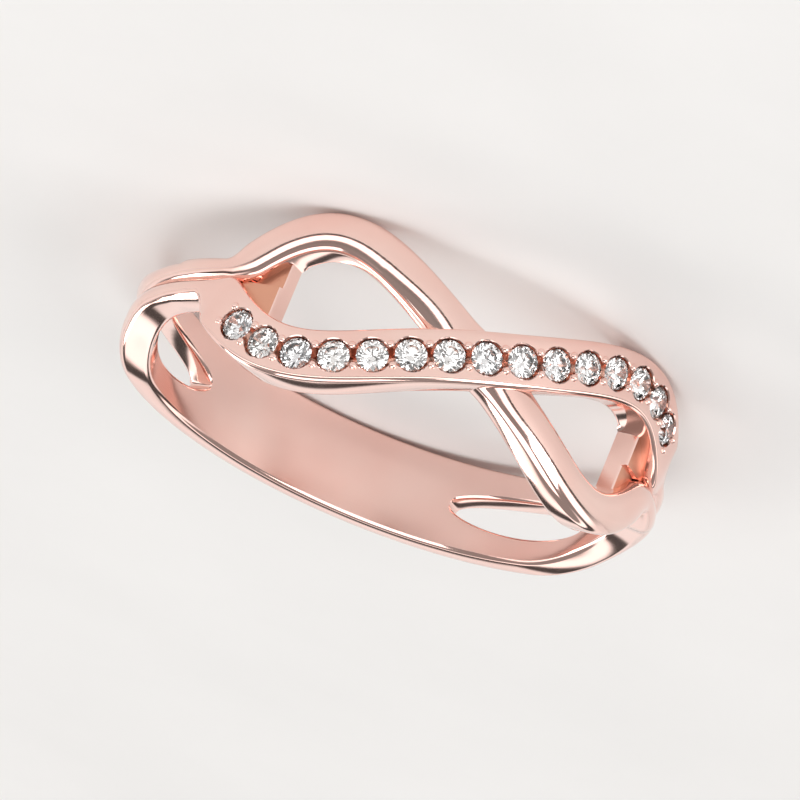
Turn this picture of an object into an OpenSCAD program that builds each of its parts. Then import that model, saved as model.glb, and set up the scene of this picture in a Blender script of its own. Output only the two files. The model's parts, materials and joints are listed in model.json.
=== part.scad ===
// Infinity ring: a cast band whose front splits into a figure of eight.
// A plain polished strand passes under a strand that carries a row of round stones.
// The ring lies on its side, as it rests by itself, with the figure of eight towards -Y.

/* [Finger hole] */
// Inside diameter of the ring
finger_d = 17; // [15:0.1:21]
// Rounding of the metal's inner edges, for comfort
comfort_r = 0.15; // [0.05:0.01:0.25]

/* [Figure of eight] */
// Width of the figure of eight, measured along the finger
motif_w = 6.3; // [5.6:0.1:7.2]
// Angle round the ring from the crossing to the end of the plain strand's loop
plain_reach = 60; // [56:1:63]
// Angle round the ring from the crossing to the end of the stone strand's loop
stone_reach = 64; // [60:1:67]
// Fullness of the loops at their outer ends, 0 for a plain wave
loop_fullness = 0.18; // [0.05:0.01:0.25]

/* [Plain strand] */
// Width of the plain strand
plain_w = 1.45; // [1.2:0.05:1.7]
// Thickness of the plain strand, from the finger outwards
plain_t = 1.3; // [1.1:0.05:1.6]
// Height of the strand's domed top
plain_dome = 0.22; // [0.05:0.01:0.35]
// How far the plain strand dips where it passes under the other one
tuck = 0.12; // [0.08:0.01:0.3]

/* [Stone strand] */
// Thickness of the stone strand, from the finger outwards
stone_strand_t = 1.4; // [1.3:0.05:1.7]
// Width of the metal rail on either side of the stones
rail_w = 0.34; // [0.25:0.01:0.5]
// Bevel on the outer edge of each rail
rail_bevel = 0.1; // [0.04:0.01:0.15]

/* [Stones] */
// Diameter of one stone
stone_d = 1.1; // [1:0.05:1.2]
// Space between neighbouring stones
stone_space = 0.12; // [0.08:0.01:0.2]
// Clearance between a stone and its seat
seat_gap = 0.04; // [0.03:0.005:0.06]
// Height of a stone's table above the rails
table_rise = 0.07; // [0:0.01:0.1]
// Half the width of the channel that joins neighbouring seats
channel_half = 0.3; // [0.2:0.01:0.4]

/* [Shank] */
// Width of the shank where it meets the figure of eight
neck_w = 1.5; // [1.3:0.05:1.8]
// Width of the shank at the back
back_w = 3.3; // [2.6:0.1:4]
// Thickness of the shank
shank_t = 1.25; // [1.1:0.05:1.5]
// Height of the shank's domed top, and depth of the groove between its strands
shank_dome = 0.22; // [0.05:0.01:0.35]
// Angle from the crossing to the middle of the oval opening in each side
opening_at = 124; // [116:1:128]
// Angle round the ring that the oval opening takes
opening_span = 44; // [30:1:48]
// Height of the oval opening, measured along the finger
opening_h = 1.4; // [0.8:0.05:1.8]

/* [Web] */
// Angle from the crossing to the wall that closes a loop's inner end
web_at = 46; // [44:1:48]
// Width of the web's end, between the two strands
web_w = 2.3; // [2.2:0.05:2.5]
// How far the web lies below the strands
web_drop = 0.42; // [0.2:0.02:0.6]
// Depth of the slot between the web and the plain strand, below the web
slot_depth = 0.2; // [0.1:0.02:0.3]
// Distance of the slot's middle from the middle of the band
slot_shift = 0.2; // [0.1:0.02:0.3]

/* [Hidden] */
STONES = 15;

rose_gold = [0.93, 0.68, 0.58];
clear_stone = [0.86, 0.88, 0.92];

finger_r = finger_d / 2;
stone_r = stone_d / 2;
seat_r = stone_r + seat_gap;
stone_strand_w = 2 * (seat_r + rail_w);
stone_pitch = stone_d + stone_space;
// Radius at the middle of the band's wall, on which widths round the ring are measured
wall_r = finger_r + shank_t / 2;

// Proportions of a round brilliant, as shares of its diameter
crown_share = 0.15;
girdle_share = 0.03;
pavilion_share = 0.43;
table_share = 0.56;
crown_h = crown_share * stone_d;
girdle_h = girdle_share * stone_d;
pavilion_h = pavilion_share * stone_d;

// Heights above the finger hole: the stones' girdles, the ledge they stand over,
// the floor of the seats, and the core of the plain strand that passes below the seats
girdle_top = stone_strand_t + table_rise - crown_h;
seat_ledge = girdle_top - girdle_h - seat_gap;
seat_floor = girdle_top - girdle_h - pavilion_h - 2 * seat_gap;
core_cover = 0.1;
core_t = seat_floor - core_cover;

// The strands run on past their loops into the shank. They narrow and sink to its skin.
overrun = 6;
narrow_before = 6;
narrow_after = 2;
sink_before = 8;
end_sink = 0.03;
end_half = 0.9 * neck_w / 4;
neck_z = neck_w / 4;
neck_blend = 0.7;
wave_end = 210;

function step(x, lo, hi) = let (t = max(0, min(1, (x - lo) / (hi - lo)))) t * t * (3 - 2 * t);
function smooth_max(x, y, k) = let (h = max(k - abs(x - y), 0) / k) max(x, y) + h * h * k / 4;
function unit(v) = v / norm(v);
function polar(r, a, z) = [r * sin(a), -r * cos(a), z];
function sum_to(v, n) = n < 0 ? 0 : v[n] + sum_to(v, n - 1);
function middle(ring) = [for (p = ring) 1 / len(ring)] * ring;
function degrees_round(s) = s / wall_r * 180 / PI;

// The wave of a loop. It is 0 at the crossing and at the loop's end.
function wave(t) = sin(t) - loop_fullness * sin(2 * t);
wave_peak = max([for (t = [60 : 1 : 150]) wave(t)]);

// Height of a strand's middle at the angle a. Past its widest place it turns into the shank.
function loop_z(a, reach, w) =
    let (t = min(abs(a) * 180 / reach, wave_end),
        z = (motif_w - w) / 2 * wave(t) / wave_peak,
        out = t < 90 ? z : smooth_max(z, neck_z, neck_blend))
    a < 0 ? -out : out;
function plain_z(a) = -loop_z(a, plain_reach, plain_w);
function stone_z(a) = loop_z(a, stone_reach, stone_strand_w);

// Direction of a strand in the unrolled band, as a unit vector [round, along the finger]
slope_step = 0.25;
function plain_dir(a) = unit([wall_r * 2 * slope_step * PI / 180,
    plain_z(a + slope_step) - plain_z(a - slope_step)]);
function stone_dir(a) = unit([wall_r * 2 * slope_step * PI / 180,
    stone_z(a + slope_step) - stone_z(a - slope_step)]);

// A point s to the side of a strand's middle and t out from the finger hole
function beside(a, z, dir, s, t) =
    polar(finger_r + t, a - degrees_round(s * dir[1]), z + s * dir[0]);

// The underside of a strand, from the side at h to the side at -h. It crosses the finger
// hole's wall on a bevel and ends a little inside it, so the hole cuts it along clean lines.
under = comfort_r / 2;
function underside(a, z, dir, h) = [
    beside(a, z, dir, h, comfort_r),
    beside(a, z, dir, h - comfort_r - under, -under),
    beside(a, z, dir, comfort_r + under - h, -under),
    beside(a, z, dir, -h, comfort_r)
];

// Share of a strand's way from its loop into the shank
function narrowing(a, reach) = step(abs(a), reach - narrow_before, reach + narrow_after);
function sinking(a, reach) = step(abs(a), reach - sink_before, reach);

// Skin between rings of points that all have the same count, closed by a fan at each end
module skin(rings) {
    n = len(rings[0]);
    m = len(rings);
    polyhedron(
        points = [for (ring = rings) each ring, middle(rings[0]), middle(rings[m - 1])],
        faces = [
            for (i = [0 : m - 2], j = [0 : n - 1])
                let (k = (j + 1) % n)
                each [[i * n + j, i * n + k, (i + 1) * n + k],
                    [i * n + j, (i + 1) * n + k, (i + 1) * n + j]],
            each fan(m * n, [for (j = [n - 1 : -1 : 0]) j]),
            each fan(m * n + 1, [for (j = [0 : n - 1]) (m - 1) * n + j])
        ],
        convexity = 10);
}
function fan(tip, loop) = [
    for (j = [0 : len(loop) - 1]) [tip, loop[j], loop[(j + 1) % len(loop)]]
];

// Plain strand: a domed bar that dips under the stone strand where the two cross
crossing_a = 11;
crossing_step = 0.6;
dip_w = 1.2;
plain_shares = [-1, -0.8, -0.45, 0, 0.45, 0.8, 1];
function plain_half(a) = let (f = narrowing(a, plain_reach)) plain_w / 2 * (1 - f) + end_half * f;
function plain_top(a, z, share) =
    let (off = abs(z - stone_z(a)) * stone_dir(a)[0] - stone_strand_w / 2,
        sink = (plain_t - shank_t + end_sink) * sinking(a, plain_reach),
        dip = tuck * exp(-pow(max(0, off) / dip_w, 2)))
    abs(a) > 2 * crossing_a ? plain_t - plain_dome * share * share - sink
        : off < -rail_w / 2 ? core_t
        : plain_t - plain_dome * share * share - dip;
function plain_ring(a) =
    let (z = plain_z(a), dir = plain_dir(a), h = plain_half(a))
    [
        for (q = plain_shares)
            let (side_z = z + q * h * dir[0], side_a = a - degrees_round(q * h * dir[1]))
            beside(a, z, dir, q * h, plain_top(side_a, side_z, q)),
        each underside(a, z, dir, h)
    ];
plain_angles = [
    for (a = [-plain_reach - overrun : 2 : -crossing_a - 1]) a,
    for (a = [-crossing_a : crossing_step : crossing_a]) a,
    for (a = [crossing_a + 1 : 2 : plain_reach + overrun]) a
];

module plain_strand() {
    skin([for (a = plain_angles) plain_ring(a)]);
}

// Distance along the stone strand from the crossing, in steps of one degree
stone_end = stone_reach + narrow_after;
stone_steps = [for (a = [0 : stone_end - 1])
    norm([wall_r * PI / 180, stone_z(a + 1) - stone_z(a)])];
stone_run = [for (a = [0 : stone_end]) [sum_to(stone_steps, a - 1), a]];
stone_far = stone_run[stone_end][0];
function angle_at(s) = (s < 0 ? -1 : 1) * lookup(abs(s), stone_run);
function stone_s(i) = (i - (STONES - 1) / 2) * stone_pitch;

// Stone strand: two rails with a scalloped seat for each stone between them
stations_per_stone = 8;
end_step = 0.4;
seat_end = 0.2;
row_end = stone_s(STONES - 1) + seat_r;
function stone_half(a) = let (f = narrowing(a, stone_reach))
    stone_strand_w / 2 * (1 - f) + end_half * f;
function nearest_stone(s) = max(0, min(STONES - 1, round(s / stone_pitch + (STONES - 1) / 2)));
function seat_half(s) =
    let (d = abs(s - stone_s(nearest_stone(s))),
        between = abs(s) > stone_s(STONES - 1) ? seat_end : channel_half)
    max(between, d < seat_r ? sqrt(seat_r * seat_r - d * d) : 0);
function stone_ring(s) =
    let (a = angle_at(s), z = stone_z(a), dir = stone_dir(a), h = stone_half(a),
        top = stone_strand_t - (stone_strand_t - shank_t + end_sink) * sinking(a, stone_reach),
        cut = abs(s) < row_end,
        g = cut ? seat_half(s) : seat_end,
        ledge = [cut ? g : g * 0.7, cut ? seat_ledge : top],
        bottom = [g * 0.25, cut ? seat_floor : top])
    [
        beside(a, z, dir, -h, top - rail_bevel),
        beside(a, z, dir, rail_bevel - h, top),
        beside(a, z, dir, -g, top),
        beside(a, z, dir, -ledge[0], ledge[1]),
        beside(a, z, dir, -bottom[0], bottom[1]),
        beside(a, z, dir, bottom[0], bottom[1]),
        beside(a, z, dir, ledge[0], ledge[1]),
        beside(a, z, dir, g, top),
        beside(a, z, dir, h - rail_bevel, top),
        beside(a, z, dir, h, top - rail_bevel),
        each underside(a, z, dir, h)
    ];
stone_stations = [
    for (s = [-stone_far : end_step : -row_end - end_step / 2]) s,
    for (i = [0 : STONES * stations_per_stone])
        (i / stations_per_stone - STONES / 2) * stone_pitch,
    for (s = [row_end + end_step / 2 : end_step : stone_far]) s
];

module stone_strand() {
    skin([for (s = stone_stations) stone_ring(s)]);
}

// Shank: two strands side by side, parted by a groove and then by an oval opening,
// run into one plain band at the back. A web closes each loop's inner end.
web_fade = [plain_reach - 5, plain_reach + 1];
groove_bend = 12;
groove_fade = 10;
spread_from = plain_reach + 24;
spread_to = opening_at - 2;
opening_from = opening_at - opening_span / 2;
opening_end = opening_at + opening_span / 2;
// Places across one half of the shank, from the groove to the edge, and the slot's edge
shank_shares = [0, 0.15, 0.2, 0.45, 0.75, 1];
slot_share = 0.15;

function web_share(a) = 1 - step(a, web_fade[0], web_fade[1]);
function groove_share(a) = 1 - step(a, opening_end, opening_end + groove_fade);
function shank_half(a) = (neck_w + (web_w - neck_w) * (1 - step(a, web_at, plain_reach))
    + (back_w - neck_w) * step(a, spread_from, spread_to)) / 2;
function opening_half(a) = let (q = (a - opening_at) / (opening_span / 2))
    abs(q) >= 1 ? 0 : opening_h / 2 * sqrt(1 - q * q);
// The groove starts beside the plain strand, which is below where a is positive
function plain_side(a) = a > 0 ? -1 : 1;
function groove_z(a) =
    plain_side(a) * slot_shift * (1 - step(abs(a), plain_reach, plain_reach + groove_bend));

function shank_side(a, side) =
    let (q = abs(a), inner = groove_z(a) + side * opening_half(q), outer = side * shank_half(q),
        top = shank_t - web_drop * web_share(q), g = groove_share(q),
        slot = slot_depth * web_share(q))
    [
        for (w = shank_shares)
            let (dome = shank_dome * (g * pow(2 * w - 1, 2) + (1 - g) * w * w),
                cut = side == plain_side(a) || w <= slot_share ? slot : 0)
            polar(finger_r + top - dome - cut, a, inner + w * (outer - inner)),
        polar(finger_r + comfort_r, a, outer),
        polar(finger_r - under, a, outer - side * (comfort_r + under)),
        polar(finger_r - 1.5 * under, a, inner),
        polar(finger_r + comfort_r, a, inner)
    ];
shank_angles = [
    for (a = [web_at : 1.5 : plain_reach + 10]) a,
    for (a = [plain_reach + 12 : 3 : opening_from - 1]) a,
    for (t = [0 : 10 : 180]) opening_at - opening_span / 2 * cos(t),
    for (a = [opening_end + 3 : 4 : 178]) a
];
shank_columns = [
    each shank_angles,
    180,
    for (i = [len(shank_angles) - 1 : -1 : 0]) -shank_angles[i]
];

// Each column has n points for either strand. Where the strands touch, they share
// the points at the groove: the first one, and the last two as one.
module shank() {
    n = len(shank_shares) + 4;
    m = len(shank_columns);
    shut = [for (a = shank_columns) opening_half(abs(a)) < 0.001];
    function id(i, s, k) = 2 * n * i
        + (!shut[i] || (k > 0 && k < n - 2) ? n * s + k : k == 0 ? 0 : n - 2);
    function rim(i) = [
        for (k = [0 : n - 2]) 2 * n * i + k,
        for (k = [n - 3 : -1 : 1]) 2 * n * i + n + k
    ];
    function turned(loop) = [for (k = [len(loop) - 1 : -1 : 0]) loop[k]];
    function whole(f) = f[0] == f[1] || f[1] == f[2] || f[0] == f[2] ? [] : [f];
    polyhedron(
        points = [
            for (a = shank_columns, side = [1, -1]) each shank_side(a, side),
            for (i = [0, m - 1]) polar(finger_r + shank_t / 4, shank_columns[i], 0)
        ],
        faces = [
            for (i = [0 : m - 2], s = [0, 1], k = [0 : n - 1])
                if (!shut[i] || !shut[i + 1] || k < n - 2)
                    let (near = [id(i, s, k), id(i, s, (k + 1) % n)],
                        far = [id(i + 1, s, k), id(i + 1, s, (k + 1) % n)],
                        p = near[s], q = near[1 - s], r = far[1 - s], t = far[s])
                    each [each whole([p, q, r]), each whole([p, r, t])],
            each fan(2 * n * m, turned(rim(0))),
            each fan(2 * n * m + 1, rim(m - 1))
        ],
        convexity = 10);
}

// The ring lies on its loops' lower edges in front and on the shank's lower edge at the back.
// Points [y, z] of both edges give the lean and the height at which they touch the surface.
function side_view(p) = [p[1], p[2]];
front_edge = [for (a = [plain_reach / 3 : plain_reach]) each [
    side_view(beside(a, plain_z(a), plain_dir(a), -plain_w / 2, comfort_r)),
    side_view(beside(-a, stone_z(-a), stone_dir(-a), -stone_strand_w / 2, comfort_r))
]];
back_edge = [for (a = [opening_at : 180], t = [comfort_r, shank_t - shank_dome])
    side_view(polar(finger_r + t, a, -shank_half(a)))];
function height(p, lean) = p[1] * cos(lean) - p[0] * sin(lean);
function lowest(edge, lean) = let (h = [for (p = edge) height(p, lean)]) edge[search(min(h), h)[0]];
function lean_again(lean, times) = times == 0 ? lean :
    let (f = lowest(front_edge, lean), b = lowest(back_edge, lean))
    lean_again(atan2(b[1] - f[1], b[0] - f[0]), times - 1);
lean = lean_again(0, 4);
lift = -height(lowest(front_edge, lean), lean);
// The origin lies below the middle of the whole ring
slide = (stone_strand_t + table_rise - shank_t) / 2 * cos(lean);

module at_rest() {
    translate([0, slide, lift])
        rotate([-lean, 0, 0])
            children();
}

module ring_body() color(rose_gold) {
    at_rest() difference() {
        // The loops reach exactly as far along the finger as their stated width
        resize([0, 0, motif_w]) union() {
            plain_strand();
            stone_strand();
            shank();
        }
        cylinder(r = finger_r, h = 3 * motif_w, center = true, $fn = 180);
    }
}

// Round brilliant with its girdle's top at height 0: a table, 8 stars, 8 kites,
// 16 upper and 16 lower halves, a thin girdle and 8 pavilion mains
star_r = stone_r * (table_share + 0.45 * (1 - table_share));
half_r = stone_r * 0.24;
function disc_point(r, a, h) = [r * cos(a), r * sin(a), h];
function crown_at(x) = crown_h * (1 - (x / stone_r - table_share) / (1 - table_share));
function pavilion_at(x) = -girdle_h - pavilion_h * (1 - x / stone_r);
brilliant_points = [
    for (i = [0 : 7]) disc_point(stone_r * table_share, i * 45, crown_h),
    for (i = [0 : 7]) disc_point(star_r, i * 45 + 22.5, crown_at(star_r * cos(22.5))),
    for (i = [0 : 15]) disc_point(stone_r, i * 22.5, 0),
    for (i = [0 : 15]) disc_point(stone_r, i * 22.5, -girdle_h),
    for (i = [0 : 7]) disc_point(half_r, i * 45 + 22.5, pavilion_at(half_r * cos(22.5))),
    [0, 0, -girdle_h - pavilion_h]
];
brilliant_faces = [
    [for (i = [7 : -1 : 0]) i],
    for (i = [0 : 7]) let (j = (i + 1) % 8, h = (i + 7) % 8, g = 2 * i, g1 = g + 1,
            g2 = (g + 2) % 16)
        each [
            [i, j, 8 + i],
            [i, 8 + i, 16 + g], [i, 16 + g, 8 + h],
            [8 + i, 16 + g1, 16 + g], [8 + i, 16 + g2, 16 + g1],
            [16 + g, 16 + g1, 32 + g1], [16 + g, 32 + g1, 32 + g],
            [16 + g1, 16 + g2, 32 + g2], [16 + g1, 32 + g2, 32 + g1],
            [48 + i, 32 + g, 32 + g1], [48 + i, 32 + g1, 32 + g2],
            [56, 32 + g, 48 + i], [56, 48 + h, 32 + g]
        ]
];

// A stone stands square to the strand, with one kite along the row
module stone(i) color(clear_stone) {
    a = angle_at(stone_s(i - 1));
    z = stone_z(a);
    dir = stone_dir(a);
    out = polar(1, a, 0);
    along = dir[0] * [cos(a), sin(a), 0] + [0, 0, dir[1]];
    across = cross(out, along);
    foot = polar(finger_r + girdle_top, a, z);
    at_rest() polyhedron(
        points = [for (p = brilliant_points) foot + p[0] * along + p[1] * across + p[2] * out],
        faces = brilliant_faces,
        convexity = 2);
}

ring_body();
stone(1);  // stone_01
stone(2);  // stone_02
stone(3);  // stone_03
stone(4);  // stone_04
stone(5);  // stone_05
stone(6);  // stone_06
stone(7);  // stone_07
stone(8);  // stone_08
stone(9);  // stone_09
stone(10);  // stone_10
stone(11);  // stone_11
stone(12);  // stone_12
stone(13);  // stone_13
stone(14);  // stone_14
stone(15);  // stone_15
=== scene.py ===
import json
import math

import bmesh
import bpy
import numpy as np
from mathutils import Matrix, Vector


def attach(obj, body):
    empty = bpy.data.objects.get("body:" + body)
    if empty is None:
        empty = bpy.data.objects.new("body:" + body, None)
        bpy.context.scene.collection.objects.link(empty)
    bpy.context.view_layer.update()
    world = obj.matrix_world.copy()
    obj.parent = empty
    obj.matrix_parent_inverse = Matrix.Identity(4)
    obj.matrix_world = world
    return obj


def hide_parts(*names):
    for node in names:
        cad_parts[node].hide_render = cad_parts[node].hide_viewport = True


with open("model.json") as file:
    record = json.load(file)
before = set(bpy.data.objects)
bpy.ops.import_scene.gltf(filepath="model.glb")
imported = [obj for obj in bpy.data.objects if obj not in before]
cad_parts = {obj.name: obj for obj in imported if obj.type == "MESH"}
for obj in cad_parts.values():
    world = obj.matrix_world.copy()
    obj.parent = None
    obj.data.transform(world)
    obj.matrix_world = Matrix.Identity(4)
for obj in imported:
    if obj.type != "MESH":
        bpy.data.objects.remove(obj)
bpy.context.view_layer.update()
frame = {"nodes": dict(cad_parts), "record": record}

# Finger hole. A ring is made round its finger, so the hole's radius, middle and axis come
# first, from the frame's own mount. Places on the ring are degrees round from the crossing,
# millimetres along the finger and millimetres out from the hole's wall.
mm = 0.001
hole = next(mount for mount in frame["record"]["mounts"] if mount["name"] == "finger_hole")
hole_r = hole["dims"]["r_mm"]
hole_middle = np.array(hole["pos_m"])
finger_way = np.array(Vector(hole["axis"]).normalized())
right_way = np.array([1.0, 0.0, 0.0])
front_way = np.cross(right_way, finger_way)

# Camera, at the photograph's angle to the ring. Seen with the finger level, it stands a little
# to the right of the crossing and above it, and it is turned as the photograph is. Its distance
# and field are in metres, and its aim is in millimetres from the hole's middle.
camera_round = math.radians(13.06)
camera_above = math.radians(16.9)
camera_turn = math.radians(202.3)
camera_far = 0.3
camera_field = 0.0275
camera_aim = np.array([0.2, 0.35])
sensor_w = 36


def in_frame(x, y, z):
    """A direction of the ring, right, back and along the finger, in the frame's own axes."""
    return x * right_way - y * front_way + z * finger_way


to_camera = in_frame(math.sin(camera_round) * math.cos(camera_above),
                     -math.cos(camera_round) * math.cos(camera_above),
                     math.sin(camera_above))
level_right = in_frame(math.cos(camera_round), math.sin(camera_round), 0)
level_up = np.cross(to_camera, level_right)
camera_right = math.cos(camera_turn) * level_right + math.sin(camera_turn) * level_up
camera_up = np.cross(to_camera, camera_right)
camera_target = hole_middle + mm * (camera_aim[0] * camera_right + camera_aim[1] * camera_up)
camera_data = bpy.data.cameras.new("photo_camera")
camera_data.sensor_width = sensor_w
camera_data.lens = sensor_w * camera_far / camera_field
camera_data.clip_start = 0.01
camera_data.clip_end = 10
camera = bpy.data.objects.new("photo_camera", camera_data)
bpy.context.scene.collection.objects.link(camera)
camera_axes = np.column_stack([camera_right, camera_up, to_camera,
                               camera_target + camera_far * to_camera])
camera.matrix_world = Matrix([*camera_axes.tolist(), [0, 0, 0, 1]])
bpy.context.scene.camera = camera

# Lines of the two strands. The polished bar and the stone bar leave the shank side by side,
# swing out into the loops and cross at the front. Both loops are the same wave with its own
# reach, and both are drawn on the middle of the wall.
motif_w = 6.3
shank_t = 1.25
wall_r = hole_r + shank_t / 2
stone_d = 1.1
seat_gap = 0.04
rail_w = 0.34
seat_r = stone_d / 2 + seat_gap
strands = {
    "plain": {"reach": 60.0, "half": 1.45 / 2, "thick": 1.3, "edge": 0.16, "notch": 0.5},
    "stone": {"reach": 64.0, "half": seat_r + rail_w, "thick": 1.4, "edge": 0.17, "notch": 0.12},
}
loop_fullness = 0.18
wave_end = 210
neck_half = 1.5 / 2
neck_z = neck_half / 2
neck_blend = 0.7
end_half = 0.9 * neck_half / 2
narrow_before, narrow_past = 6, 2
way_step = 0.25


def step(x, low, high):
    """Smooth step from 0 at low to 1 at high."""
    t = np.clip((x - low) / (high - low), 0, 1)
    return t * t * (3 - 2 * t)


def smooth_max(x, y, blend):
    """The larger of two heights, with a fillet where they cross."""
    near = np.clip(blend - np.abs(x - y), 0, None) / blend
    return np.maximum(x, y) + near * near * blend / 4


def wave(t):
    """Height of a loop's wave at t degrees of it, made fuller towards its far end."""
    return np.sin(np.radians(t)) - loop_fullness * np.sin(np.radians(2 * t))


wave_peak = wave(np.arange(181)).max()


def loop_line(kind, a):
    """Millimetres along the finger of a strand's middle, for a strand that rises with a."""
    strand = strands[kind]
    t = np.minimum(np.abs(a) * 180 / strand["reach"], wave_end)
    rise = (motif_w / 2 - strand["half"]) * wave(t) / wave_peak
    bent = np.where(t < 90, rise, smooth_max(rise, neck_z, neck_blend))
    return np.sign(a) * bent


def loop_way(kind, a):
    """Unit direction of a strand in the unrolled band: the share round and the share along."""
    rise = loop_line(kind, a + way_step) - loop_line(kind, a - way_step)
    go = np.radians(2 * way_step) * wall_r
    size = np.hypot(go, rise)
    return go / size, rise / size


def loop_half(kind, a):
    """Half the width of a strand. It narrows where it runs into the shank."""
    strand = strands[kind]
    share = step(np.abs(a), strand["reach"] - narrow_before, strand["reach"] + narrow_past)
    return strand["half"] * (1 - share) + end_half * share


# Edges of the two bars. Each bar runs the whole way round: from its loop it goes on as one half
# of the shank, so its outer edge turns into the shank's and its inner edge into the seam.
# At the sides the seam opens into an oval. The bars overlap by a lip, so that they join.
fine_gap = 0.05
table_a = np.arange(-30, 90, fine_gap)
back_half = 3.3 / 2
spread_from, spread_to = 84, 122
shank_from = 75
opening_at = 124
opening_span = 44
opening_h = 1.4
opening_from = opening_at - opening_span / 2
opening_to = opening_at + opening_span / 2
shear_from, shear_to = 54.5, 66
web_at = 46
pinch_after = 45
seam_before = 8
seam_drift = 14
lip = 0.03


def side_line(kind, q, a):
    """Height at the degrees a of the line at the share q of a strand's half width."""
    go, rise = loop_way(kind, table_a)
    x = q * loop_half(kind, table_a)
    at = table_a - np.degrees(x * rise / wall_r)
    return np.interp(a, at, loop_line(kind, table_a) + x * go)


inner_sum = side_line("stone", -1, table_a) + side_line("plain", -1, table_a)
pinch_a = table_a[np.argmax((inner_sum <= 0) & (table_a > pinch_after))]
pinch_z = {"stone": float(side_line("stone", -1, pinch_a))}
pinch_z["plain"] = -pinch_z["stone"]


def opening_half(a):
    """Half the height of the oval opening in the shank's side."""
    q = (a - opening_at) / (opening_span / 2)
    return opening_h / 2 * np.sqrt(np.clip(1 - q * q, 0, None))


def shank_half(a):
    """Half the width of the shank, which is widest at the back."""
    return neck_half + (back_half - neck_half) * step(a, spread_from, spread_to)


def outer_line(kind, a):
    """Height of a bar's outer edge, where a isn't negative."""
    bar = smooth_max(side_line(kind, 1, a), shank_half(a), strands[kind]["notch"])
    return np.where(a > shank_from, shank_half(a), bar)


def inner_line(kind, a):
    """Height of a bar's inner edge, where a isn't negative."""
    seam = pinch_z[kind] * (1 - step(a, pinch_a, pinch_a + seam_drift)) + opening_half(a) - lip
    line = side_line(kind, -1, a)
    near_seam = a > pinch_a - seam_before
    return np.where(a > pinch_a, seam, np.where(near_seam, np.maximum(line, seam), line))


def bar_edges(kind, a):
    """Right and left edge of a bar as degrees and heights, for a bar that rises with a."""
    q = np.abs(a)
    go, rise = loop_way(kind, q)
    square = np.degrees(loop_half(kind, q) * rise / wall_r) * (1 - step(q, shear_from, shear_to))
    outer = np.stack([q - square, outer_line(kind, q - square)])
    inner = np.stack([q + square, inner_line(kind, q + square)])
    front = a >= 0
    return np.where(front, inner, -outer), np.where(front, outer, -inner)


# Profile of a bar. Its top is level or domed, its edges are rounded, and its underside is
# eased at the finger hole. Between the openings the dome turns into one dome over both bars.
# Each row of the easing is an inset from the bar's side and a height over the hole's wall.
dome = 0.22
dome_from, dome_to = 55, 66
shank_edge = 0.16
edge_least = 0.02
settle_before, settle_past = 8, 2
groove_fade = 10
rounding = np.radians([0, 22.5, 45, 67.5])
comfort = 0.15
ease = np.array([[1.2, -0.25], [0.5, 0.2], [0.15, 0.6], [0, 1.3]]) * comfort
eased_gap = 0.2
eased_past = 2


def place(round_deg, along, out):
    """Points in metres for arrays of degrees round, millimetres along and millimetres out."""
    turn = np.radians(round_deg)[..., None]
    radius = (hole_r + out)[..., None]
    point = radius * (np.sin(turn) * right_way + np.cos(turn) * front_way)
    return hole_middle + mm * (point + along[..., None] * finger_way)


def bar_shape(kind, a):
    """Everything that a profile needs at each station a, as arrays."""
    q = np.abs(a)
    strand = strands[kind]
    reach = strand["reach"]
    right, left = bar_edges(kind, a)
    width = np.hypot(np.radians(left[0] - right[0]) * wall_r, left[1] - right[1])
    thick = strand["thick"] + (shank_t - strand["thick"]) * step(q, reach - settle_before, reach)
    settled = step(q, reach - settle_before, reach + settle_past)
    edge = strand["edge"] + (shank_edge - strand["edge"]) * settled
    domed = step(q, dome_from, dome_to) if kind == "stone" else np.ones(len(q))
    groove = 1 - step(q, opening_to, opening_to + groove_fade)
    before_web = 1 - step(q, web_at, web_at + eased_past)
    open_share = np.clip(opening_half(q) / eased_gap, 0, 1) + before_web
    inner_edge = edge * np.clip(groove, edge_least, 1)
    front = a >= 0
    return {
        "right": right, "left": left, "width": width, "thick": thick,
        "domed": domed, "groove": groove, "front": front,
        "edges": (np.where(front, inner_edge, edge), np.where(front, edge, inner_edge)),
        "eased": (np.where(front, open_share, 1), np.where(front, 1, open_share)),
    }


def across_bar(shape, x):
    """Degrees round and millimetres along at x millimetres from a bar's right edge."""
    share = (x / shape["width"])[None]
    return shape["right"] * (1 - share) + shape["left"] * share


def spot(shape, x, out):
    """Points of the bar's profile at x millimetres from its right edge."""
    a, along = across_bar(shape, x)
    return place(a, along, out)


def top_at(shape, x):
    """Height of a bar's top at x millimetres from its right edge."""
    width = shape["width"]
    w = np.where(shape["front"], x / width, 1 - x / width)
    groove = shape["groove"]
    sag = dome * shape["domed"] * (groove * (2 * w - 1) ** 2 + (1 - groove) * w * w)
    drop = 0
    for from_edge, r in ((x, shape["edges"][0]), (width - x, shape["edges"][1])):
        d = np.clip(r - from_edge, 0, r)
        drop = drop + r - np.sqrt(r * r - d * d)
    return shape["thick"] - sag - drop


def sides(shape):
    """Columns of the right side and edge, and of the left edge and side, as x and out."""
    width = shape["width"]
    ones = np.ones(len(width))
    right = [(inset * shape["eased"][0], out * ones) for inset, out in ease]
    left = [(width - inset * shape["eased"][1], out * ones) for inset, out in ease[::-1]]
    right_arc = [shape["edges"][0] * (1 - math.cos(t)) for t in rounding]
    left_arc = [width - shape["edges"][1] * (1 - math.cos(t)) for t in rounding[::-1]]
    return right, right_arc, left_arc, left


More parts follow.
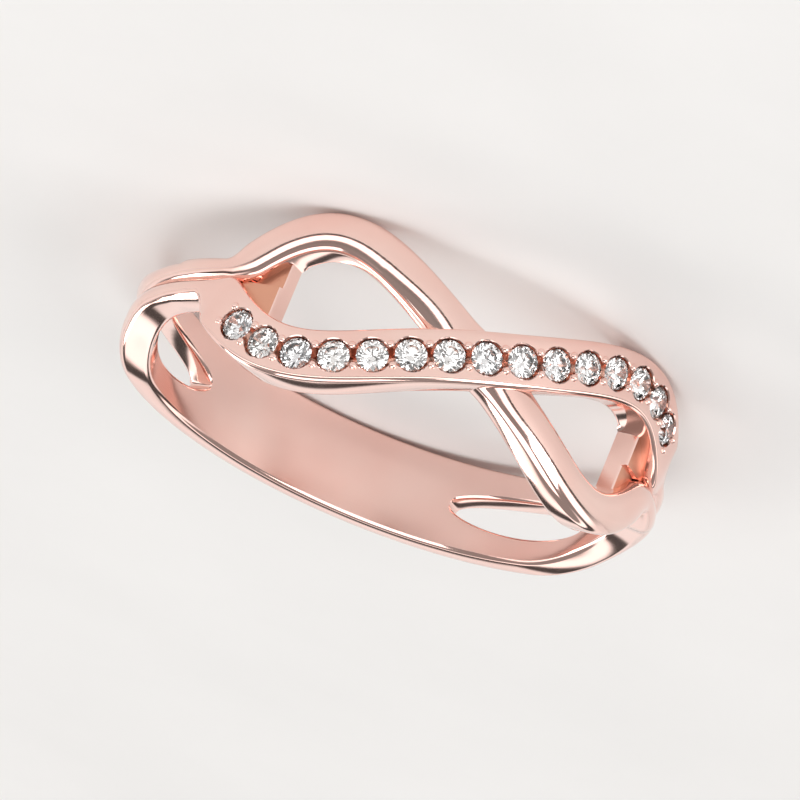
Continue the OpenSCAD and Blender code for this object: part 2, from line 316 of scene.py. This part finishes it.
# Stations of the shank, in degrees from a loop's end to the back. They crowd where the
# opening's tips turn quickly.
loops_to = 70
shank_gap = 2
tip_turn = np.radians(np.arange(0, 181, 6))
shank_stations = np.concatenate([
    np.arange(loops_to, opening_from - shank_gap / 2, shank_gap),
    opening_at - opening_span / 2 * np.cos(tip_turn),
    np.arange(opening_to + shank_gap, 180 - shank_gap / 2, shank_gap),
    [180],
])

# Plain bar: rose gold, domed and polished. It dips below the stone bar where the two cross,
# and under the seats only its core is left. It is drawn rising as the stone bar does, and then
# mirrored along the finger.
tuck = 0.12
dip_w = 1.2
dip_reach = 25
core_t = 0.619
crossing_to = 20
crossing_gap = 0.3
loop_gap = 0.5
columns_across = 13
plain_half_turn = np.concatenate([np.arange(0, crossing_to, crossing_gap),
                                  np.arange(crossing_to, loops_to, loop_gap), shank_stations])
plain_stations = np.concatenate([-plain_half_turn[:0:-1], plain_half_turn])
plain_shape = bar_shape("plain", plain_stations)


def plain_top(x):
    """Top of the plain bar, lowered beside and below the stone bar."""
    a, along = across_bar(plain_shape, x)
    off = np.abs(along + loop_line("stone", a)) * loop_way("stone", a)[0]
    off = off - strands["stone"]["half"]
    near = np.abs(a) < dip_reach
    dip = np.where(near, tuck * np.exp(-(np.clip(off, 0, None) / dip_w) ** 2), 0)
    lowered = top_at(plain_shape, x) - dip
    return np.where(near & (off < -rail_w / 2), np.minimum(lowered, core_t), lowered)


def closed_mesh(name, rings):
    """Closed mesh from rings of points, each joined to the next, with a fan at each end."""
    count, size = rings.shape[:2]
    i, k = np.meshgrid(np.arange(count - 1), np.arange(size), indexing="ij")
    k1 = (k + 1) % size
    quads = np.stack([i * size + k, i * size + k1, (i + 1) * size + k1, (i + 1) * size + k], -1)
    faces = quads.reshape(-1, 4).tolist()
    first_tip, last_tip = count * size, count * size + 1
    last_ring = (count - 1) * size
    for here in range(size):
        beside = (here + 1) % size
        faces.append([first_tip, beside, here])
        faces.append([last_tip, last_ring + here, last_ring + beside])
    points = np.concatenate([rings.reshape(-1, 3), rings[[0, -1]].mean(1)]).round(9)
    mesh = bpy.data.meshes.new(name)
    mesh.from_pydata(points.tolist(), [], faces)
    build = bmesh.new()
    build.from_mesh(mesh)
    bmesh.ops.recalc_face_normals(build, faces=build.faces)
    build.to_mesh(mesh)
    build.free()
    piece = bpy.data.objects.new(name, mesh)
    bpy.context.scene.collection.objects.link(piece)
    return piece


right, right_arc, left_arc, left = sides(plain_shape)
middle_from = plain_shape["edges"][0]
middle_to = plain_shape["width"] - plain_shape["edges"][1]
across = [middle_from + (middle_to - middle_from) * share
          for share in np.linspace(0, 1, columns_across)]
columns = [spot(plain_shape, x, out) for x, out in right]
columns += [spot(plain_shape, x, plain_top(x)) for x in right_arc + across + left_arc]
columns += [spot(plain_shape, x, out) for x, out in left]
plain_rings = np.stack(columns, 1)
along_finger = (plain_rings - hole_middle) @ finger_way
plain_rings = plain_rings - 2 * along_finger[..., None] * finger_way
plain_bar = closed_mesh("plain_bar", plain_rings)

# Stone bar: rose gold, two rails with a scalloped seat for each stone between them. Past the
# last stone its level top rounds over into the shank's dome. A seat's wall goes down in steps:
# a share of its half width, millimetres added to that, and the height.
stone_names = [name for name in frame["nodes"] if name.startswith("stone_")]
stone_count = len(stone_names)
stone_pitch = stone_d + 0.12
crown_h = 0.15 * stone_d
girdle_h = 0.03 * stone_d
below_crown = 0.46 * stone_d
table_rise = 0.07
rail_top = strands["stone"]["thick"]
girdle_top = rail_top + table_rise - crown_h
seat_ledge = girdle_top - girdle_h - seat_gap
seat_floor = girdle_top - below_crown - 2 * seat_gap
seat_slope = seat_ledge - 0.4 * (seat_ledge - seat_floor)
seat_bevel = 0.035
seat_draft = 0.004
seat_steps = [(1, seat_bevel, rail_top), (1, 0, rail_top - seat_bevel),
              (1, -seat_draft, seat_ledge), (0.6, 0, seat_slope), (0.25, 0, seat_floor)]
seat_least = 0.06
channel_half = 0.3
flat_share = 0.3
flat_from, flat_to = 50, 60
rail_shares = (0.35, 0.7)
stations_per_stone = 24
row_end_gap = 0.002
run_a = np.arange(0, loops_to, fine_gap)
run_s = np.concatenate([[0], np.cumsum(np.hypot(np.radians(fine_gap) * wall_r,
                                                np.diff(loop_line("stone", run_a))))])
last_s = (stone_count - 1) / 2 * stone_pitch
row_s = last_s + seat_r
row_half = (np.arange(0, stone_count * stations_per_stone / 2 + 1)
            * stone_pitch / stations_per_stone)
row_half = np.concatenate([row_half[row_half < row_s - row_end_gap],
                           [row_s - row_end_gap, row_s + row_end_gap]])
row_end_a = float(np.interp(row_s, run_s, run_a))
stone_half_turn = np.concatenate([
    np.interp(row_half, run_s, run_a),
    np.arange(math.ceil(row_end_a / loop_gap) * loop_gap + loop_gap, loops_to, loop_gap),
    shank_stations,
])
stone_stations = np.concatenate([-stone_half_turn[:0:-1], stone_half_turn])
stone_shape = bar_shape("stone", stone_stations)
stone_middle = stone_shape["width"] / 2
station_s = np.interp(np.abs(stone_stations), run_a, run_s)
in_row = station_s < row_s
from_stone = np.abs(station_s / stone_pitch - np.round(station_s / stone_pitch)) * stone_pitch
round_seat = np.sqrt(np.clip(seat_r ** 2 - from_stone ** 2, 0, None))
seat_half = np.maximum(round_seat, np.where(station_s > last_s, seat_least, channel_half))
flat_half = (flat_share * stone_shape["width"] * step(np.abs(stone_stations), flat_from, flat_to)
             + seat_least)
seat_half = np.where(in_row, seat_half, flat_half)


def on_top(x):
    """Points on the stone bar's top at x millimetres from its right edge."""
    return spot(stone_shape, x, top_at(stone_shape, x))


def seat_column(side, share, widen, out):
    """One column of the seats. Outside the row it lies on the bar's top."""
    x = stone_middle + side * (seat_half * share + widen)
    return spot(stone_shape, x, np.where(in_row, out, top_at(stone_shape, x)))


right, right_arc, left_arc, left = sides(stone_shape)
rail_right = stone_shape["edges"][0]
rail_left = stone_shape["width"] - stone_shape["edges"][1]
seat_right = stone_middle - seat_half - seat_bevel
seat_left = stone_middle + seat_half + seat_bevel
columns = [spot(stone_shape, x, out) for x, out in right]
columns += [on_top(x) for x in right_arc + [rail_right]]
columns += [on_top(rail_right + (seat_right - rail_right) * share) for share in rail_shares]
columns += [seat_column(-1, *seat_step) for seat_step in seat_steps]
columns += [seat_column(1, *seat_step) for seat_step in seat_steps[::-1]]
columns += [on_top(rail_left + (seat_left - rail_left) * share) for share in rail_shares[::-1]]
columns += [on_top(x) for x in [rail_left] + left_arc]
columns += [spot(stone_shape, x, out) for x, out in left]
stone_bar = closed_mesh("stone_bar", np.stack(columns, 1))

# Webs: cast with the bars, a low floor closes the inner end of each loop. A slot runs beside
# the plain bar, and the web's end wall has a small chamfer.
web_end = 62
web_neck = 60
web_half_from = 2.3 / 2
web_t = shank_t - 0.42
web_sink = 0.25 * comfort
slot_depth = 0.2
slot_z = -0.14
slot_slope = 0.03
web_chamfer = 0.05
web_chamfer_a = 0.33
web_stations = np.concatenate([[web_at, web_at + web_chamfer_a],
                               np.arange(web_at + 1, web_end + 1)])
web_half = neck_half + (web_half_from - neck_half) * (1 - step(web_stations, web_at, web_neck))
slot_from = np.full(len(web_stations), slot_z - slot_slope)
slot_to = np.full(len(web_stations), slot_z + slot_slope)
web_floor = np.full(len(web_stations), -web_sink)
web_top = web_t - np.where(web_stations == web_at, web_chamfer, 0)
slot_floor = web_top - slot_depth
web_outline = [(-web_half, web_floor), (-web_half, slot_floor), (slot_from, slot_floor),
               (slot_to, web_top), (web_half, web_top), (web_half, web_floor)]
webs = []
for name, side in (("web_right", 1), ("web_left", -1)):
    rings = [place(side * web_stations, side * z, out) for z, out in web_outline]
    webs.append(closed_mesh(name, np.stack(rings, 1)))

# Ring body: both bars and webs are one cast piece of rose gold, bored for the finger by a fine
# cylinder longer than the ring. Cuts leave slivers. Loose ones are deleted, and ones narrower
# than sliver_w, in metres, are closed.
hole_steps = 720
hole_reach = 6
sliver_w = 1e-6
sharp_angle = math.radians(32)
hole_turn = np.arange(hole_steps) * 360 / hole_steps
hole_rings = np.stack([place(hole_turn, np.full(hole_steps, z), np.zeros(hole_steps))
                       for z in (-hole_reach, hole_reach)])
hole_cutter = closed_mesh("hole_cutter", hole_rings)


def joined(name, first, steps):
    """Piece made from a solid by steps that add or cut others, without slivers."""
    for operation, solid in steps:
        change = first.modifiers.new(operation, "BOOLEAN")
        change.operation = operation
        change.solver = "MANIFOLD"
        change.object = solid
    graph = bpy.context.evaluated_depsgraph_get()
    mesh = bpy.data.meshes.new_from_object(first.evaluated_get(graph), depsgraph=graph)
    mesh.name = name
    for solid in [first] + [solid for operation, solid in steps]:
        bpy.data.objects.remove(solid)
    build = bmesh.new()
    build.from_mesh(mesh)
    loose = set(build.verts)
    islands = []
    while loose:
        island = set()
        edge_of_it = [loose.pop()]
        while edge_of_it:
            vert = edge_of_it.pop()
            island.add(vert)
            near = [edge.other_vert(vert) for edge in vert.link_edges]
            fresh = [other for other in near if other in loose]
            loose.difference_update(fresh)
            edge_of_it.extend(fresh)
        islands.append(island)
    main = max(islands, key=len)
    slivers = [vert for vert in build.verts if vert not in main]
    bmesh.ops.delete(build, geom=slivers, context="VERTS")
    bmesh.ops.dissolve_degenerate(build, dist=sliver_w, edges=build.edges)
    build.to_mesh(mesh)
    build.free()
    piece = bpy.data.objects.new(name, mesh)
    bpy.context.scene.collection.objects.link(piece)
    return piece


def smooth_by_angle(piece, limit):
    """Smooth shading, with a sharp edge wherever two faces meet at more than the limit."""
    build = bmesh.new()
    build.from_mesh(piece.data)
    for face in build.faces:
        face.smooth = True
    for edge in build.edges:
        edge.smooth = len(edge.link_faces) == 2 and edge.calc_face_angle(0) < limit
    build.to_mesh(piece.data)
    build.free()


ring = joined("rose_gold_body", stone_bar,
              [("UNION", plain_bar), ("UNION", webs[0]), ("UNION", webs[1]),
               ("DIFFERENCE", hole_cutter)])
smooth_by_angle(ring, sharp_angle)

# Duller skin and painted shade in the hollows. The webs and the seats can't be reached by the
# polishing wheel, so their faces carry a share that the metal's material reads for a duller skin,
# and for a darker, warmer colour that is painted shade and painted warm reflection of these
# recesses.
web_dull_and_shade = 1.0
seat_dull_and_shade = 0.6
web_facing = 0.3
seat_facing = -0.2
web_above = 0.3
dull_and_shade_reach = 0.05
wall_reach = 0.2
seat_lip = 0.6 * seat_bevel
face_count = len(ring.data.polygons)
centres = np.empty(face_count * 3)
normals = np.empty(face_count * 3)
ring.data.polygons.foreach_get("center", centres)
ring.data.polygons.foreach_get("normal", normals)
centres = centres.reshape(-1, 3) - hole_middle
normals = normals.reshape(-1, 3)
face_z = centres @ finger_way / mm
radial = centres - np.outer(face_z, finger_way) * mm
face_r = np.linalg.norm(radial, axis=1) / mm
face_out = face_r - hole_r
face_a = np.degrees(np.arctan2(radial @ right_way, radial @ front_way))
facing_out = (normals * radial).sum(1) / (face_r * mm)
on_web = (np.abs(face_a) > web_at + wall_reach) & (np.abs(face_a) < web_end)
on_web &= (face_out > web_above) & (face_out < web_t + dull_and_shade_reach)
on_web &= (np.abs(face_z) < web_half_from) & (facing_out > web_facing)
off_row = np.abs(face_z - loop_line("stone", face_a)) * loop_way("stone", face_a)[0]
in_seat = (off_row < seat_r) & (np.abs(face_a) < row_end_a) & (facing_out > seat_facing)
in_seat &= (face_out > seat_floor - dull_and_shade_reach) & (face_out < rail_top - seat_lip)
# Face share for the duller skin and for the painted shade of the webs and seats.
dull_and_painted_shade = ring.data.attributes.new("dull_and_painted_shade", "FLOAT", "FACE")
dull_and_painted_shade.data.foreach_set("value", np.where(on_web, web_dull_and_shade, np.where(in_seat, seat_dull_and_shade, 0.0)))

# Polish of the rose gold, shared by the body and the beads: cloudy warm and pale tones,
# polishing lines round the finger, the faint waves that a polishing wheel leaves, and in the
# hollows a duller skin with painted shade. Noise is in cells a metre for each direction, and a
# bump is a strength and a depth in metres.
tone_cells = (260, 260, 260)
warm_tone = (0.92, 0.6, 0.53)
pale_tone = (0.95, 0.69, 0.62)
# Painted shade: a darker, warmer colour standing in for the shade and warm reflections inside the
# webs and seats.
painted_shade_tone = (0.76, 0.38, 0.26, 1)
hollow_rough = 0.3
rub_cells = (900, 900, 900)
rub_range = (0.05, 0.14)
line_cells = (500, 500, 14000)
line_relief = (0.05, 0.00001)
wave_cells = (420, 420, 420)
wave_relief = (0.12, 0.0001)


def noise_at(tree, cells, detail, rough=0.5):
    """Noise over Object coordinates, with a scale in cells a metre for each direction."""
    where = tree.nodes.new("ShaderNodeTexCoord")
    spread = tree.nodes.new("ShaderNodeMapping")
    spread.inputs["Scale"].default_value = cells
    tree.links.new(where.outputs["Object"], spread.inputs["Vector"])
    noise = tree.nodes.new("ShaderNodeTexNoise")
    noise.inputs["Scale"].default_value = 1
    noise.inputs["Detail"].default_value = detail
    noise.inputs["Roughness"].default_value = rough
    tree.links.new(spread.outputs["Vector"], noise.inputs["Vector"])
    return noise.outputs["Fac"]


def ramp(tree, value, stops):
    """Colour ramp over a value, from places and colours."""
    node = tree.nodes.new("ShaderNodeValToRGB")
    while len(node.color_ramp.elements) < len(stops):
        node.color_ramp.elements.new(0.5)
    for element, (at, colour) in zip(node.color_ramp.elements, stops):
        element.position = at
        element.color = (*colour, 1)
    tree.links.new(value, node.inputs["Fac"])
    return node.outputs["Color"]


def spread_to_range(tree, value, low, high):
    """Value between 0 and 1 brought to a range."""
    node = tree.nodes.new("ShaderNodeMapRange")
    node.inputs["To Min"].default_value = low
    node.inputs["To Max"].default_value = high
    tree.links.new(value, node.inputs["Value"])
    return node.outputs["Result"]


def bumped(tree, height, strength, depth):
    """Bump node that turns a height into a normal."""
    node = tree.nodes.new("ShaderNodeBump")
    node.inputs["Strength"].default_value = strength
    node.inputs["Distance"].default_value = depth
    tree.links.new(height, node.inputs["Height"])
    return node


def mixed(tree, kind, share, first, second):
    """Mix of two colours or values by a share."""
    node = tree.nodes.new("ShaderNodeMix")
    node.data_type = kind
    first_at, second_at, result_at = {"RGBA": (6, 7, 2), "FLOAT": (2, 3, 0)}[kind]
    tree.links.new(share, node.inputs[0])
    for socket, source in ((first_at, first), (second_at, second)):
        if isinstance(source, bpy.types.NodeSocket):
            tree.links.new(source, node.inputs[socket])
        else:
            node.inputs[socket].default_value = source
    return node.outputs[result_at]


polish = bpy.data.node_groups.new("polish", "ShaderNodeTree")
for label, kind in (("Colour", "NodeSocketColor"), ("Roughness", "NodeSocketFloat"),
                    ("Normal", "NodeSocketVector")):
    polish.interface.new_socket(label, in_out="OUTPUT", socket_type=kind)
polish_out = polish.nodes.new("NodeGroupOutput")
read_dull_and_shade = polish.nodes.new("ShaderNodeAttribute")
read_dull_and_shade.attribute_name = "dull_and_painted_shade"
tones = ramp(polish, noise_at(polish, tone_cells, detail=3),
             [(0.3, warm_tone), (0.7, pale_tone)])
line_bump = bumped(polish, noise_at(polish, line_cells, detail=2), *line_relief)
wave_bump = bumped(polish, noise_at(polish, wave_cells, detail=1), *wave_relief)
rub = spread_to_range(polish, noise_at(polish, rub_cells, detail=4, rough=0.6), *rub_range)
# Painted shade: the hollows' share mixes the darker, warmer colour into the tones.
tone_with_painted_shade = mixed(polish, "RGBA", read_dull_and_shade.outputs["Fac"], tones, painted_shade_tone)
shine = mixed(polish, "FLOAT", read_dull_and_shade.outputs["Fac"], rub, hollow_rough)
polish.links.new(wave_bump.outputs["Normal"], line_bump.inputs["Normal"])
polish.links.new(tone_with_painted_shade, polish_out.inputs["Colour"])
polish.links.new(shine, polish_out.inputs["Roughness"])
polish.links.new(line_bump.outputs["Normal"], polish_out.inputs["Normal"])

rose_gold = bpy.data.materials.new("rose_gold")
rose_gold.use_nodes = True
metal = rose_gold.node_tree.nodes["Principled BSDF"]
metal.inputs["Metallic"].default_value = 1
polished = rose_gold.node_tree.nodes.new("ShaderNodeGroup")
polished.node_tree = polish
for label, socket in (("Colour", "Base Color"), ("Roughness", "Roughness"), ("Normal", "Normal")):
    rose_gold.node_tree.links.new(polished.outputs[label], metal.inputs[socket])
ring.data.materials.clear()
ring.data.materials.append(rose_gold)
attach(ring, "root")
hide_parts("ring_body")

# Beads: a pair of small rose gold grains at each gap in the row is pushed over the stones'
# edges and holds them. Geometry Nodes sets one grain at each point, with a size that varies
# a little.
bead_r = 0.15
bead_aside = 0.36
bead_sink = 0.04
bead_variation = 0.08
bead_seed = 7
bead_smoothness = 3
gaps = np.arange(-stone_count / 2, stone_count / 2 + 0.5)
gap_a = np.sign(gaps) * np.interp(np.abs(gaps) * stone_pitch, run_s, run_a)
gap_z = loop_line("stone", gap_a)
gap_go, gap_rise = loop_way("stone", gap_a)
bead_a = np.stack([gap_a - np.degrees(side * bead_aside * gap_rise / wall_r)
                   for side in (-1, 1)], 1).ravel()
bead_z = np.stack([gap_z + side * bead_aside * gap_go for side in (-1, 1)], 1).ravel()
bead_points = place(bead_a, bead_z, np.full(len(bead_a), rail_top - bead_sink))
bead_mesh = bpy.data.meshes.new("beads")
bead_mesh.from_pydata(bead_points.tolist(), [], [])
bead_places = bpy.data.objects.new("bead_places", bead_mesh)
bpy.context.scene.collection.objects.link(bead_places)

grains = bpy.data.node_groups.new("grains", "GeometryNodeTree")
grains.interface.new_socket("Geometry", in_out="INPUT", socket_type="NodeSocketGeometry")
for label in ("Radius", "Variation"):
    grains.interface.new_socket(label, in_out="INPUT", socket_type="NodeSocketFloat")
grains.interface.new_socket("Geometry", in_out="OUTPUT", socket_type="NodeSocketGeometry")
given = grains.nodes.new("NodeGroupInput")
grain = grains.nodes.new("GeometryNodeMeshIcoSphere")
grain.inputs["Subdivisions"].default_value = bead_smoothness
vary = grains.nodes.new("FunctionNodeRandomValue")
vary.inputs["Seed"].default_value = bead_seed
least = grains.nodes.new("ShaderNodeMath")
least.operation = "SUBTRACT"
least.inputs[0].default_value = 1
set_on = grains.nodes.new("GeometryNodeInstanceOnPoints")
realize = grains.nodes.new("GeometryNodeRealizeInstances")
smooth = grains.nodes.new("GeometryNodeSetShadeSmooth")
dress = grains.nodes.new("GeometryNodeSetMaterial")
dress.inputs["Material"].default_value = rose_gold
made = grains.nodes.new("NodeGroupOutput")
for start, end in (
    (given.outputs["Radius"], grain.inputs["Radius"]),
    (given.outputs["Variation"], least.inputs[1]),
    (least.outputs[0], vary.inputs[2]),
    (given.outputs["Geometry"], set_on.inputs["Points"]),
    (grain.outputs["Mesh"], set_on.inputs["Instance"]),
    (vary.outputs[1], set_on.inputs["Scale"]),
    (set_on.outputs["Instances"], realize.inputs["Geometry"]),
    (realize.outputs["Geometry"], smooth.inputs["Geometry"]),
    (smooth.outputs["Geometry"], dress.inputs["Geometry"]),
    (dress.outputs["Geometry"], made.inputs["Geometry"]),
):
    grains.links.new(start, end)
grow = bead_places.modifiers.new("grains", "NODES")
grow.node_group = grains
sockets = {item.name: item.identifier for item in grains.interface.items_tree
           if item.in_out == "INPUT"}
grow[sockets["Radius"]] = bead_r * mm
grow[sockets["Variation"]] = bead_variation
graph = bpy.context.evaluated_depsgraph_get()
bead_result = bpy.data.meshes.new_from_object(bead_places.evaluated_get(graph), depsgraph=graph)
bpy.data.objects.remove(bead_places)
beads = bpy.data.objects.new("seat_beads", bead_result)
bpy.context.scene.collection.objects.link(beads)
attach(beads, "root")

# Stones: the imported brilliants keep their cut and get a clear, bright material. It has
# faint clouds of grey and warm light from the metal below, and a trace of wear in its gloss.
stone_ior = 2.15
cloud_cells = (700, 700, 700)
cool_cloud = (0.93, 0.94, 0.97)
warm_cloud = (1, 0.98, 0.96)
wear_cells = (2500, 2500, 2500)
wear_range = (0.005, 0.03)
clear_stone = bpy.data.materials.new("clear_stone")
clear_stone.use_nodes = True
crystal = clear_stone.node_tree
glass = crystal.nodes["Principled BSDF"]
glass.inputs["IOR"].default_value = stone_ior
glass.inputs["Transmission Weight"].default_value = 1
tint = ramp(crystal, noise_at(crystal, cloud_cells, detail=2),
            [(0.3, cool_cloud), (0.7, warm_cloud)])
crystal.links.new(tint, glass.inputs["Base Color"])
wear = spread_to_range(crystal, noise_at(crystal, wear_cells, detail=3), *wear_range)
crystal.links.new(wear, glass.inputs["Roughness"])
for name in stone_names:
    stone = bpy.data.objects[name]
    stone.data.materials.clear()
    stone.data.materials.append(clear_stone)

# Floor: a pale matt sheet of paper that fills the view. It is the stage, and no part of the
# ring.
floor_half = 0.9
sheet_rough = 0.7
fibre_cells = (60, 60, 60)
fibre_tones = [(0.3, (0.8, 0.79, 0.78)), (0.7, (0.84, 0.83, 0.82))]
floor_mesh = bpy.data.meshes.new("floor")
floor_mesh.from_pydata([(x * floor_half, y * floor_half, 0)
                        for x, y in ((-1, -1), (1, -1), (1, 1), (-1, 1))], [], [(0, 1, 2, 3)])
floor = bpy.data.objects.new("floor", floor_mesh)
bpy.context.scene.collection.objects.link(floor)
paper = bpy.data.materials.new("paper")
paper.use_nodes = True
sheet = paper.node_tree.nodes["Principled BSDF"]
sheet.inputs["Roughness"].default_value = sheet_rough
fibres = ramp(paper.node_tree, noise_at(paper.node_tree, fibre_cells, detail=4), fibre_tones)
paper.node_tree.links.new(fibres, sheet.inputs["Base Color"])
floor_mesh.materials.append(paper)

# Studio light: three soft boxes round the ring, in a room with a bright strip and a dark one.
# The strips lie at other heights in front of the ring than behind it, so that the polished tops
# and edges show dark lines beside their highlights, as in the photograph.
white = (1, 1, 1)
warm_white = (1, 0.96, 0.92)
room_white = (1, 0.985, 0.97)
room_strength = 2.35
room_blend = 0.25
strips_before = [(0, 0.035), (0.08, 0.035), (0.13, 1), (0.28, 1), (0.34, 0.1), (0.5, 0.13),
                 (1, 0.13)]
strips_behind = [(0, 0.37), (0.12, 0.39), (0.17, 0.43), (0.26, 0.43), (0.31, 0.03), (0.45, 0.03),
                 (0.5, 0.67), (0.6, 0.67), (0.65, 0.13), (1, 0.13)]


def soft_box(name, where, aim, size, watts, colour):
    """Rectangular lamp that looks from one point at another."""
    light = bpy.data.lights.new(name, "AREA")
    light.shape = "RECTANGLE"
    light.size, light.size_y = size
    light.energy = watts
    light.color = colour
    lamp = bpy.data.objects.new(name, light)
    bpy.context.scene.collection.objects.link(lamp)
    lamp.location = where
    toward = Vector(aim) - Vector(where)
    lamp.rotation_euler = toward.to_track_quat("-Z", "Y").to_euler()


soft_box("box_above", where=(0.05, -0.1, 0.45), aim=(0, -0.03, 0), size=(0.5, 0.35),
         watts=1.05, colour=white)
soft_box("box_front", where=(-0.3, -0.42, 0.2), aim=(0, 0, 0), size=(0.25, 0.3),
         watts=1, colour=white)
soft_box("box_back", where=(0.25, 0.4, 0.25), aim=(0, 0, 0), size=(0.4, 0.12),
         watts=0.7, colour=warm_white)
world = bpy.data.worlds.new("room")
bpy.context.scene.world = world
world.use_nodes = True
room = world.node_tree
sky = room.nodes["Background"]
sky.inputs["Strength"].default_value = room_strength
facing = room.nodes.new("ShaderNodeTexCoord")
split = room.nodes.new("ShaderNodeSeparateXYZ")
room.links.new(facing.outputs["Generated"], split.inputs["Vector"])
height = spread_to_range(room, split.outputs["Z"], 0.0, 1.0)
sides_of_room = [ramp(room, height, [(at, tuple(share * part for part in room_white))
                                     for at, share in strips])
                 for strips in (strips_before, strips_behind)]
behind = room.nodes.new("ShaderNodeMapRange")
behind.inputs["From Min"].default_value = -room_blend
behind.inputs["From Max"].default_value = room_blend
room.links.new(split.outputs["Y"], behind.inputs["Value"])
room_light = mixed(room, "RGBA", behind.outputs["Result"], *sides_of_room)
room.links.new(room_light, sky.inputs["Color"])
bpy.context.scene.view_settings.view_transform = "Standard"
